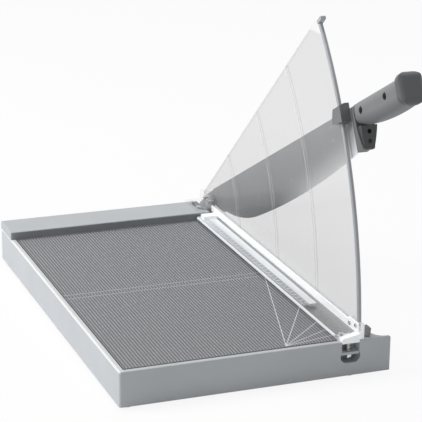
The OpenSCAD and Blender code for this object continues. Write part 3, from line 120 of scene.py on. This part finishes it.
class Value:
    """A shader socket that Python's arithmetic works on, and the NodeTree that adds its nodes."""

    def __init__(self, maker, socket):
        self.maker = maker
        self.socket = socket

    def __add__(self, other):
        return self.maker.math("ADD", self, other)

    def __sub__(self, other):
        return self.maker.math("SUBTRACT", self, other)

    def __mul__(self, other):
        return self.maker.math("MULTIPLY", self, other)

    def __truediv__(self, other):
        return self.maker.math("DIVIDE", self, other)

    def __mod__(self, other):
        return self.maker.math("FLOORED_MODULO", self, other)

    def __pow__(self, other):
        return self.maker.math("POWER", self, other)

    def __rsub__(self, other):
        return self.maker.math("SUBTRACT", other, self)

    def __gt__(self, other):
        return self.maker.math("GREATER_THAN", self, other)

    def __abs__(self):
        return self.maker.math("ABSOLUTE", self)

    __radd__ = __add__
    __rmul__ = __mul__

    def clamped(self):
        """The value held between 0 and 1."""
        return self.maker.math("MINIMUM", self.maker.math("MAXIMUM", self, 0), 1)

    def line(self, at, width, soft=0.15):
        """1 on a line of that width where this value equals at, and 0 away from it."""
        return ((width / 2 + soft - abs(self - at)) / soft).clamped()

    def step(self, start, end):
        """0 up to start, 1 from end on, and a ramp between them."""
        return ((self - start) / (end - start)).clamped()


# Rays that show the surroundings: straight to the camera, in a gloss, and through clear plastic
SEEN_RAYS = ["Is Camera Ray", "Is Glossy Ray", "Is Transmission Ray"]


class NodeTree:
    """Adds shader nodes to one tree."""

    def __init__(self, tree):
        self.tree = tree

    def node(self, kind, settings=None, inputs=None, output=0):
        """Adds a node: its settings first, then the values or links of its sockets."""
        made = self.tree.nodes.new("ShaderNode" + kind)
        for name, value in (settings or {}).items():
            setattr(made, name, value)
        for name, value in (inputs or {}).items():
            self.feed(made.inputs[name], value)
        return Value(self, made.outputs[output])

    def feed(self, socket, value):
        if isinstance(value, Value):
            self.tree.links.new(value.socket, socket)
        elif socket.type == "RGBA":
            socket.default_value = (*value, 1) if len(value) == 3 else value
        else:
            socket.default_value = value

    def math(self, operation, *values):
        return self.node("Math", {"operation": operation}, dict(enumerate(values)))

    def mix(self, share, start, end):
        """A colour between two colours."""
        return self.node("Mix", {"data_type": "RGBA"}, {0: share, 6: start, 7: end}, output=2)

    def seen(self):
        """1 for the rays that show the surroundings, and 0 for those that light the object."""
        return sum(self.node("LightPath", output=ray) for ray in SEEN_RAYS).clamped()


# The cosines of the turn at which an edge's mask starts, and at which it is full
EDGE_STARTS, EDGE_FULL = 0.985, 0.88


class Paint(NodeTree):
    """One material: its node tree, with a Principled BSDF at the end."""

    def __init__(self, name):
        self.material = bpy.data.materials.new(name)
        self.material.use_nodes = True
        super().__init__(self.material.node_tree)
        self.shader = self.tree.nodes["Principled BSDF"]

    def base_place(self):
        """Millimetres from the base's corner, as x, y and z."""
        here = self.node("TexCoord", output=3)
        moved = self.node("VectorMath", {"operation": "SUBTRACT"}, {0: here, 1: tuple(BASE_LOW)})
        scaled = self.node("VectorMath", {"operation": "SCALE"}, {0: moved, "Scale": 1 / MM})
        return [self.node("SeparateXYZ", inputs={0: scaled}, output=i) for i in range(3)]

    def arm_place(self):
        """Millimetres out from the pivot along the arm, and up across it."""
        x, y, z = self.base_place()
        back = PIVOT.y - y
        rise = z - PIVOT.z
        out = back * math.cos(ARM_LIFT) + rise * math.sin(ARM_LIFT)
        across = rise * math.cos(ARM_LIFT) - back * math.sin(ARM_LIFT)
        return out, across

    def vector(self, x, y, z):
        return self.node("CombineXYZ", inputs={0: x, 1: y, 2: z})

    def noise(self, at, scale, detail=3, rough=0.55):
        """Noise from 0 to 1 whose spots are about 1 / scale millimetres across."""
        return self.node(
            "TexNoise", inputs={"Vector": at, "Scale": scale, "Detail": detail, "Roughness": rough}
        )

    def grain_place(self, stretch=(1, 1, 1)):
        """The base's millimetres as one vector, for noise; a small number draws the grain out."""
        x, y, z = self.base_place()
        return self.vector(x * stretch[0], y * stretch[1], z * stretch[2])

    def edges(self, radius):
        """The normal rounded over sharp edges, and a mask of those edges."""
        rounded = self.node("Bevel", {"samples": 6}, {"Radius": radius * MM})
        flat = self.node("NewGeometry", output=1)
        agree = self.node(
            "VectorMath", {"operation": "DOT_PRODUCT"}, {0: rounded, 1: flat}, output=1
        )
        return rounded, agree.step(EDGE_STARTS, EDGE_FULL)

    def bump(self, height, depth, normal=None):
        inputs = {"Height": height, "Distance": depth * MM, "Strength": 1.0}
        if normal is not None:
            inputs["Normal"] = normal
        return self.node("Bump", inputs=inputs)

    def finish(self, **sockets):
        for name, value in sockets.items():
            self.feed(self.shader.inputs[name.replace("_", " ")], value)
        return self.material


def grey(level, warmth=0.0, violet=0.0):
    """A grey of that sRGB level, from 0 to 255, a little warm, cool or violet, in linear light."""
    tint = (1 + warmth + violet, 1, 1 - warmth + violet)
    return tuple((min(level * t, 255) / 255) ** 2.2 for t in tint)


def moulding(
    name, level, rough=0.45, grain=0.02, grain_scale=1.6, edge_highlight=12, warmth=-0.02, radius=0.5,
    highlight_mask=None,
):
    """Moulded plastic: an even colour, a fine grain, and edges painted lighter as a highlight.

    The last argument gives a mask of where a painted highlight lightens it.
    """
    paint = Paint(name)
    at = paint.grain_place()
    fine = paint.noise(at, grain_scale, detail=4)
    broad = paint.noise(at, 0.012, detail=2)
    rounded, edge = paint.edges(radius)
    body = paint.mix(broad.step(0.35, 0.65), grey(level - 2, warmth), grey(level + 2, warmth))
    # Painted highlights: lighter along the edges, and where the mask gives it
    body = paint.mix(edge * 0.7, body, grey(level + edge_highlight, warmth))
    if highlight_mask:
        body = paint.mix(highlight_mask(paint), body, grey(236))
    return paint.finish(
        Base_Color=body,
        Roughness=fine * 0.12 + (rough - 0.06),
        Normal=paint.bump(fine, grain, rounded),
    )


# How far in and how far down the painted highlight on the housing's left edge reaches, how softly
# that ends, and how much of it reaches the rim beside the mat
HIGHLIGHT_WIDTH = 2.0
HIGHLIGHT_DEPTH = 1.2
HIGHLIGHT_SOFT = 0.4
RIM_HIGHLIGHT_SHARE = 0.35


def left_rim_highlight(paint):
    """A painted highlight on the rim left of the mat, where paper is slid on, and most of all on
    its outer edge.
    """
    x, _, z = paint.base_place()
    low, high = node_box("ribbed_mat")
    soft = HIGHLIGHT_SOFT
    foot = high.z - HIGHLIGHT_DEPTH
    outer = x.step(HIGHLIGHT_WIDTH + soft, HIGHLIGHT_WIDTH - soft) * z.step(foot - soft, foot + soft)
    top = x.step(low.x + soft, low.x) * z.step(high.z + soft / 2, high.z + soft)
    return (outer + top * RIM_HIGHLIGHT_SHARE).clamped()


def metal(
    name, level, rough=0.35, brush=(1, 1, 1), scale=1.0, depth=0.004, metallic=1.0, warmth=-0.008
):
    """Metal with fine marks drawn out along the axes that brush makes small."""
    paint = Paint(name)
    marks = paint.noise(paint.grain_place(brush), scale, detail=5, rough=0.65)
    rounded, edge = paint.edges(0.3)
    body = paint.mix(marks.step(0.3, 0.7), grey(level - 9, warmth), grey(level + 9, warmth))
    # Painted highlight: the edges are painted lighter
    body = paint.mix(edge * 0.6, body, grey(min(level + 30, 245), warmth))
    return paint.finish(
        Base_Color=body,
        Metallic=metallic,
        Roughness=marks * 0.2 + (rough - 0.1),
        Normal=paint.bump(marks, depth, rounded),
    )


def clear_plastic(name, level, alpha, glow=0.0, rough=0.2, edge_cover=0.45):
    """Milky plastic, whose edges are painted bright as a highlight; glow is a painted glow,
    emission that stands in for the studio's light carried through it.
    """
    paint = Paint(name)
    rounded, edge = paint.edges(0.5)
    cloud = paint.noise(paint.grain_place(), 0.05, detail=3)
    # The edges are painted bright as a highlight, and the emission is a painted glow
    return paint.finish(
        Base_Color=paint.mix(edge, grey(level, -0.006), grey(252)),
        Roughness=cloud * 0.1 + (rough - 0.05),
        Emission_Color=(1, 1, 1),
        Emission_Strength=glow,
        Alpha=(edge * edge_cover + (alpha - 0.02) + cloud * 0.04).clamped(),
        Normal=rounded,
    )


# The mat is painted darker down between its ribs, as shade in the grooves; that shade fades out
# between these depths below the ribs' tops
GROOVE_SHADE_DEPTHS = (0.35, 0.05)
# A painted shadow along the mat's left and front edges stands for the shade of the gap beside the
# rim. It fades between these two distances from each edge
GAP_SHADE_LEFT = (1.2, 2.6)
GAP_SHADE_FRONT = (3.4, 4.6)
# Marks printed on the mat: two cross lines, and a fan of lines from a point near the front rim
FAN_POINT = (197.8, 12.9)
FAN_ENDS = [(258.9, 223.5), (273.0, 141.4), (257.1, 66.5), (257.8, 42.5), (259, 25)]
PRINT_WIDTH = 0.8
CROSS_LINES = [232, 244]


def mat_rubber():
    """The ribbed mat: dusty grey rubber with thin light marks printed on it, and painted shade in
    its grooves and along its left and front edges.
    """
    paint = Paint("ribbed_rubber")
    x, y, z = paint.base_place()
    at = paint.vector(x, y * 0.35, z)
    speck = paint.noise(at, 1.1, detail=4)
    low, high = node_box("ribbed_mat")
    dusty = speck.step(0.35, 0.7)
    dark = grey(66)
    body = paint.mix(dusty, grey(160, -0.018, 0.01), grey(192, -0.018, 0.01))
    # Painted shade in the grooves between the ribs
    body = paint.mix((high.z - z).step(*GROOVE_SHADE_DEPTHS) * 0.8, paint.mix(0.3, dark, body), body)
    # Painted shadow of the gap beside the rim, along the left and front edges
    inner = (x - low.x).step(*GAP_SHADE_LEFT) * (y - low.y).step(*GAP_SHADE_FRONT)
    body = paint.mix(inner, dark, body)
    marks = sum(y.line(at_y, PRINT_WIDTH) for at_y in CROSS_LINES)
    for end in FAN_ENDS:
        reach = Vector(end) - Vector(FAN_POINT)
        along = reach.normalized()
        across = (x - FAN_POINT[0]) * along.y - (y - FAN_POINT[1]) * along.x
        distance = (x - FAN_POINT[0]) * along.x + (y - FAN_POINT[1]) * along.y
        marks = marks + across.line(0, PRINT_WIDTH) * (distance > 0)
    ink = marks.clamped() * (speck.step(0.2, 0.5) * 0.4 + 0.6)
    return paint.finish(
        Base_Color=paint.mix(ink, body, grey(224, -0.015)),
        Roughness=0.62 + speck * 0.2,
        Normal=paint.bump(speck, 0.03),
    )


# Three fine arcs are moulded into the guard's sheet about the pivot; each is painted with a bright
# highlight, and its outer flank with painted shade
ARC_RADII = [160, 287, 407]
ARC_WIDTH = 1.0
SHADE_OUT = 1.9
# The sheet is a little darker from the first of these heights down to the second
DARKER_HEIGHTS = (230, 70)
# Above this height it is nearly clear
CLEAR_ABOVE = 361


def guard_clear():
    """The guard's clear sheet: slightly grey, with moulded arcs, each painted with a highlight and
    a strip of shade, and edges painted bright as a highlight.
    """
    paint = Paint("guard_clear")
    _, y, z = paint.base_place()
    radius = ((y - PIVOT.y) ** 2 + (z - PIVOT.z) ** 2) ** 0.5
    arcs = sum(radius.line(r, ARC_WIDTH, 0.5) for r in ARC_RADII).clamped()
    shade = sum(radius.line(r + SHADE_OUT, ARC_WIDTH, 0.5) for r in ARC_RADII).clamped()
    rounded, edge = paint.edges(0.6)
    lower = z.step(*DARKER_HEIGHTS)
    body = paint.mix(lower, grey(176), grey(160))
    # Painted shade beside each arc, then painted highlights on the arcs and the edges
    body = paint.mix(shade * 0.7, body, grey(110))
    body = paint.mix((arcs + edge).clamped(), body, grey(250))
    cover = lower * 0.01 + 0.2 + arcs * 0.3 + shade * 0.24 + edge * 0.5
    cover = cover * (1 - z.step(CLEAR_ABOVE - 0.5, CLEAR_ABOVE + 0.5) * 0.85)
    return paint.finish(
        Base_Color=body,
        Roughness=0.08,
        Alpha=cover.clamped(),
        Normal=paint.bump(arcs, 0.15, rounded),
    )


# How wide the painted highlight along the clamp bar's left edge is, how far back its printing
# starts and over what length it comes in. The printing is a scale, with a short tick each 5 mm and
# a longer one each 10 mm, and beside it a white stripe, a painted reflection, that comes in with
# the printing
LIP_HIGHLIGHT_WIDTH = 1.8
PRINT_FROM = 106
PRINT_RAMP = 2
TICK_EACH = 5
TICK_WIDTH = 0.9
# How far the middle of each is from the bar's left edge, and how wide each is
SHORT_TICK = (5, 3.5)
LONG_TICK = (7, 7.5)
SCALE_GROUND = (7.5, 9)
REFLECTION_STRIPE = (17, 8.5)


def clamp_clear():
    """The clamp's clear bar: its edges, most of all the left one, painted bright as a highlight, a
    white scale printed under it, and a white stripe that is a painted reflection.
    """
    paint = Paint("clamp_clear")
    low, high = node_box("clamp_bar")
    x, y, z = paint.base_place()
    rounded, edge = paint.edges(0.6)
    inward = x - low.x
    lip_highlight = inward.step(LIP_HIGHLIGHT_WIDTH + 0.4, LIP_HIGHLIGHT_WIDTH - 0.4)
    printed = y.step(PRINT_FROM, PRINT_FROM + PRINT_RAMP)
    ground = inward.line(*SCALE_GROUND, 0.6) * 0.36
    middle = TICK_EACH / 2
    short = (y % TICK_EACH).line(middle, TICK_WIDTH, 0.3) * inward.line(*SHORT_TICK, 0.2)
    long = (y % (2 * TICK_EACH)).line(middle, TICK_WIDTH, 0.3) * inward.line(*LONG_TICK, 0.2)
    reflection_stripe = inward.line(*REFLECTION_STRIPE, 1.2)
    streak = paint.noise(paint.vector(x * 1.2, y * 0.015, z), 1.0, detail=3)
    # The bar is cloudier toward the hinge
    cloud = y.step(PRINT_FROM, high.y) * (streak * 0.3 + 0.35)
    marks = ground + (short + long).clamped() * 0.5 + reflection_stripe * (streak * 0.3 + 0.72)
    # Painted highlights on the edges and the left edge, and a painted reflection in the stripe
    white = (edge * 0.7 + lip_highlight + marks.clamped() * printed + cloud).clamped()
    return paint.finish(
        Base_Color=paint.mix(white, grey(150), grey(246, -0.015)),
        Roughness=0.14,
        Alpha=(white * 0.78 + 0.16).clamped(),
        Normal=paint.bump(streak, 0.02, rounded),
    )


# How high the knife's bevel is, and how far out from the pivot its painted reflection turns from
# dark to bright
BEVEL_HEIGHT = 34
BRIGHT_FROM, BRIGHT_TO = 290, 400
# How far across the arm's line the knife's face is darkest and lightest
FACE_SHADES = (-40, 20)


def knife_steel():
    """The knife: ground across its length, with a bevel along the edge that carries a painted
    reflection, dark near the pivot and bright further out.
    """
    paint = Paint("knife_steel")
    out, across = paint.arm_place()
    side = paint.base_place()[0]
    ground = paint.noise(paint.vector(out * 0.5, across * 0.03, side), 1.2, detail=5, rough=0.7)
    edge_rise = EDGE_RADIUS - (EDGE_RADIUS ** 2 - (out - BELLY_AT) ** 2) ** 0.5
    edge_height = across + BELLY_DROP - edge_rise
    bright_end = out.step(BRIGHT_FROM, BRIGHT_TO)
    band = (edge_height.step(BEVEL_HEIGHT, 0) ** 1.6).clamped()
    rounded = paint.edges(0.25)[0]
    face = paint.mix(across.step(*FACE_SHADES), grey(144, -0.018), grey(166, -0.018))
    # Painted reflection on the bevel, dark near the pivot and bright further out
    bevel_reflection = paint.mix(bright_end, grey(112, -0.018), grey(250, -0.01))
    face = paint.mix(band, face, bevel_reflection)
    face = paint.mix(ground.step(0.3, 0.7) * 0.12, face, grey(215))
    return paint.finish(
        Base_Color=face,
        Metallic=0.35,
        Roughness=ground * 0.15 + 0.32,
        Normal=paint.bump(ground, 0.006, rounded),
    )


def rubber(name, level):
    paint = Paint(name)
    fine = paint.noise(paint.grain_place(), 2.5, detail=4)
    rounded, edge = paint.edges(0.4)
    # Painted highlight: the edges are painted lighter
    return paint.finish(
        Base_Color=paint.mix(edge * 0.5, grey(level), grey(level + 25)),
        Roughness=0.7 + fine * 0.2,
        Normal=paint.bump(fine, 0.04, rounded),
    )


def spring_wire():
    """Drawn wire, with marks that run round with the coil."""
    return metal("spring_wire", 150, rough=0.3, brush=(1, 1, 0.2), scale=2.0)


def paint_nodes(material, *names):
    for name in names:
        slots = nodes[name].data.materials
        slots.clear()
        slots.append(material)


def finish_mouldings():
    """The base, the grip and what else is moulded in opaque plastic."""
    # The shell and the stop are painted lighter along their edges as a highlight, the shell most
    # of all along its left rim
    shell = moulding("shell_plastic", 196, rough=0.5, edge_highlight=40, radius=0.7, highlight_mask=left_rim_highlight)
    paint_nodes(shell, "base_housing")
    paint_nodes(moulding("stop_plastic", 184, rough=0.42, edge_highlight=40, radius=0.7), "paper_stop")
    # The stop's front strip is the stop's plastic painted darker, as painted shade under the
    # stop's top
    paint_nodes(moulding("strip_shade_plastic", 160, rough=0.4, grain=0.01), "stop_strip")
    paint_nodes(moulding("plate_plastic", 62, rough=0.55), "bottom_plate")
    coarse = {"grain": 0.05, "grain_scale": 2.2}
    paint_nodes(moulding("grip_plastic", 124, rough=0.5, **coarse), "grip_left", "grip_right")
    paint_nodes(moulding("cap_plastic", 98, **coarse), "grip_end_cap")
    paint_nodes(moulding("guard_plastic", 72, **coarse), "finger_guard")
    paint_nodes(moulding("clip_plastic", 112, rough=0.3, grain=0.03), "guide_clip")
    paint_nodes(moulding("rim_plastic", 180, rough=0.3, grain=0.005), "guard_rim", "rim_stop")


def finish_rubber():
    """The mat, the feet and the buffer that the arm meets."""
    paint_nodes(mat_rubber(), "ribbed_mat")
    feet = [name for name in nodes if name.startswith("foot_")]
    paint_nodes(rubber("foot_rubber", 22), *feet)
    paint_nodes(rubber("buffer_rubber", 150), "arm_buffer")


def finish_metal():
    """The cutting edges, the castings and the hinge."""
    drawn = (0.6, 0.02, 0.6)
    paint_nodes(metal("rail_steel", 172, rough=0.4, brush=drawn, metallic=0.5), "bed_rail")
    paint_nodes(metal("bed_blade_steel", 176, rough=0.3, brush=drawn), "bed_blade")
    paint_nodes(knife_steel(), "knife")
    cast = {"rough": 0.5, "scale": 0.8, "depth": 0.05, "metallic": 0.25}
    paint_nodes(metal("bracket_casting", 112, **cast), "handle_bracket")
    paint_nodes(metal("beam_casting", 146, **cast), "arm_beam")
    hinge_paint = metal("hinge_paint", 140, rough=0.4, scale=2.5, depth=0.01, metallic=0.1)
    paint_nodes(hinge_paint, "hinge_bracket")
    paint_nodes(metal("turned_brass", 180, rough=0.3, scale=1.2, warmth=0.25), "pivot_bush")


def finish_fasteners():
    """Zinc plate, but for the screws of the grip, the bed blade and the finger guard."""
    zinc = metal("zinc_plate", 200, rough=0.3, scale=1.4)
    paint_nodes(zinc, *[name for name in nodes if name.endswith("_screws")])
    paint_nodes(zinc, "pivot_bolt", "pivot_nut", "pivot_spring_washer")
    paint_nodes(zinc, "clamp_guide_pins", "clamp_nuts")
    black = metal("blackened_steel", 40, rough=0.4, scale=1.4)
    paint_nodes(black, "grip_screws", "bed_blade_screws")
    # The finger guard's screws are dark zinc, painted darker still as the shade under the grip
    dark = metal("dark_zinc", 52, rough=0.5, scale=1.4, metallic=0.2)
    paint_nodes(dark, "finger_guard_screws")


def finish_clear_parts():
    """The guard and the clamp, which are clear or milky."""
    # Painted glow: these milky parts give out a little light of their own
    milky = clear_plastic("milky_plastic", 250, 0.97, glow=0.18)
    paint_nodes(milky, "clamp_front_cap", "clamp_rear_cap")
    guard_foot = clear_plastic("guard_rail_plastic", 250, 0.8, glow=0.18)
    paint_nodes(guard_foot, "guard_rail", "guard_front_bracket")
    haze = clear_plastic("hinge_haze", 252, 0.1, edge_cover=0.2)
    paint_nodes(haze, "guard_rear_bracket")
    paint_nodes(guard_clear(), "guard_sheet")
    paint_nodes(clamp_clear(), "clamp_bar")


# The clamp's springs, wound as the real ones are: closed flat coils at both ends
WIRE = 1.0
COIL_RADIUS = 4.6
COIL_TURNS = 4
END_TURNS = 0.75
END_PITCH = 1.02 * WIRE
RING_STEPS = 28
WIRE_SIDES = 12


def wind_coil(length):
    """A coil of that length in millimetres, which stands on the origin."""
    mesh = bmesh.new()
    disc = bmesh.ops.create_circle(mesh, cap_ends=True, segments=WIRE_SIDES, radius=WIRE / 2)
    upright = Matrix.Rotation(math.pi / 2, 3, "X")
    bmesh.ops.rotate(mesh, verts=disc["verts"], cent=(0, 0, 0), matrix=upright)
    bmesh.ops.translate(mesh, verts=disc["verts"], vec=(COIL_RADIUS, 0, WIRE / 2))
    ring = mesh.verts[:] + mesh.edges[:] + mesh.faces[:]
    closed = END_TURNS * END_PITCH
    for turns, rise in (
        (END_TURNS, closed),
        (COIL_TURNS - 2 * END_TURNS, length - WIRE - 2 * closed),
        (END_TURNS, closed),
    ):
        steps = round(turns * RING_STEPS)
        ring = bmesh.ops.spin(
            mesh, geom=ring, cent=(0, 0, 0), axis=(0, 0, 1), dvec=(0, 0, rise / steps),
            angle=math.tau * turns, steps=steps, use_duplicate=False,
        )["geom_last"]
    bmesh.ops.recalc_face_normals(mesh, faces=mesh.faces)
    return mesh


def make_spring(name, finish):
    """A smooth coil in the place of a node's plain one."""
    low, high = node_box(name)
    length = high.z - low.z
    travel = joints["clamp_press"]["range_m"][1] / MM
    foot = place((low.x + high.x) / 2, (low.y + high.y) / 2, low.z)
    mesh = wind_coil(length)
    bmesh.ops.scale(mesh, vec=(MM, MM, MM), verts=mesh.verts)
    bmesh.ops.translate(mesh, verts=mesh.verts, vec=foot)
    coil = add_piece(name.replace("clamp_spring", "coil_spring"), mesh, finish)
    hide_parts(name)
    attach(coil, "base")
    (length - travel) / length
    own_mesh(coil)


def add_piece(name, mesh, finish, smooth=True):
    data = bpy.data.meshes.new(name)
    for face in mesh.faces:
        face.smooth = smooth
    mesh.to_mesh(data)
    mesh.free()
    piece = bpy.data.objects.new(name, data)
    data.materials.append(finish)
    bpy.context.scene.collection.objects.link(piece)
    return piece


# The studio: a pale floor, an even sky, and large soft lamps on the left and above
FLOOR_SIDE = 12
FLOOR_COLOUR = (0.92, 0.92, 0.92)
FLOOR_GLOW = 0.9
SKY_STRENGTH = 0.26
# Each lamp's name, place, aim, side in metres and power in watts
LAMPS = [
    ("left_lamp", (-2.4, 1.0, 1.9), (0.1, 0.2, 0.1), 1.5, 64),
    ("top_lamp", (0.2, 0.9, 3.2), (0.15, 0.25, 0.0), 1.8, 40),
]


def make_floor():
    """A floor that is nearly white where it is seen, and still takes the object's shadow."""
    mesh = bmesh.new()
    bmesh.ops.create_grid(mesh, x_segments=1, y_segments=1, size=FLOOR_SIDE / 2)
    paint = Paint("pale_floor")
    paper = paint.node("BsdfDiffuse", inputs={"Color": FLOOR_COLOUR})
    glow = paint.node("Emission", inputs={"Color": (1, 1, 1), "Strength": 1.0})
    blend = paint.node("MixShader", inputs={0: paint.seen() * FLOOR_GLOW, 1: paper, 2: glow})
    paint.feed(paint.tree.nodes["Material Output"].inputs["Surface"], blend)
    floor = add_piece("floor", mesh, paint.material, smooth=False)


def make_sky():
    """A sky that is white where it is seen, and at a plain level where it lights the object."""
    world = bpy.data.worlds.new("sky")
    bpy.context.scene.world = world
    world.use_nodes = True
    sky = NodeTree(world.node_tree)
    back = sky.tree.nodes["Background"]
    sky.feed(back.inputs["Color"], (1, 1, 1))
    sky.feed(back.inputs["Strength"], sky.seen() * (1 - SKY_STRENGTH) + SKY_STRENGTH)


def make_lamps():
    for name, at, aim, size, power in LAMPS:
        data = bpy.data.lights.new(name, "AREA")
        data.shape = "SQUARE"
        data.size = size
        data.energy = power
        lamp = bpy.data.objects.new(name, data)
        turned = (Vector(aim) - Vector(at)).to_track_quat("-Z", "Y").to_matrix().to_4x4()
        lamp.matrix_world = Matrix.Translation(at) @ turned
        bpy.context.scene.collection.objects.link(lamp)


make_camera()
make_floor()
make_sky()
make_lamps()
finish_mouldings()
finish_rubber()
finish_metal()
finish_fasteners()
finish_clear_parts()
wire = spring_wire()
for spring in ("clamp_spring_front", "clamp_spring_rear"):
    make_spring(spring, wire)

bpy.context.scene.view_settings.view_transform = "Standard"
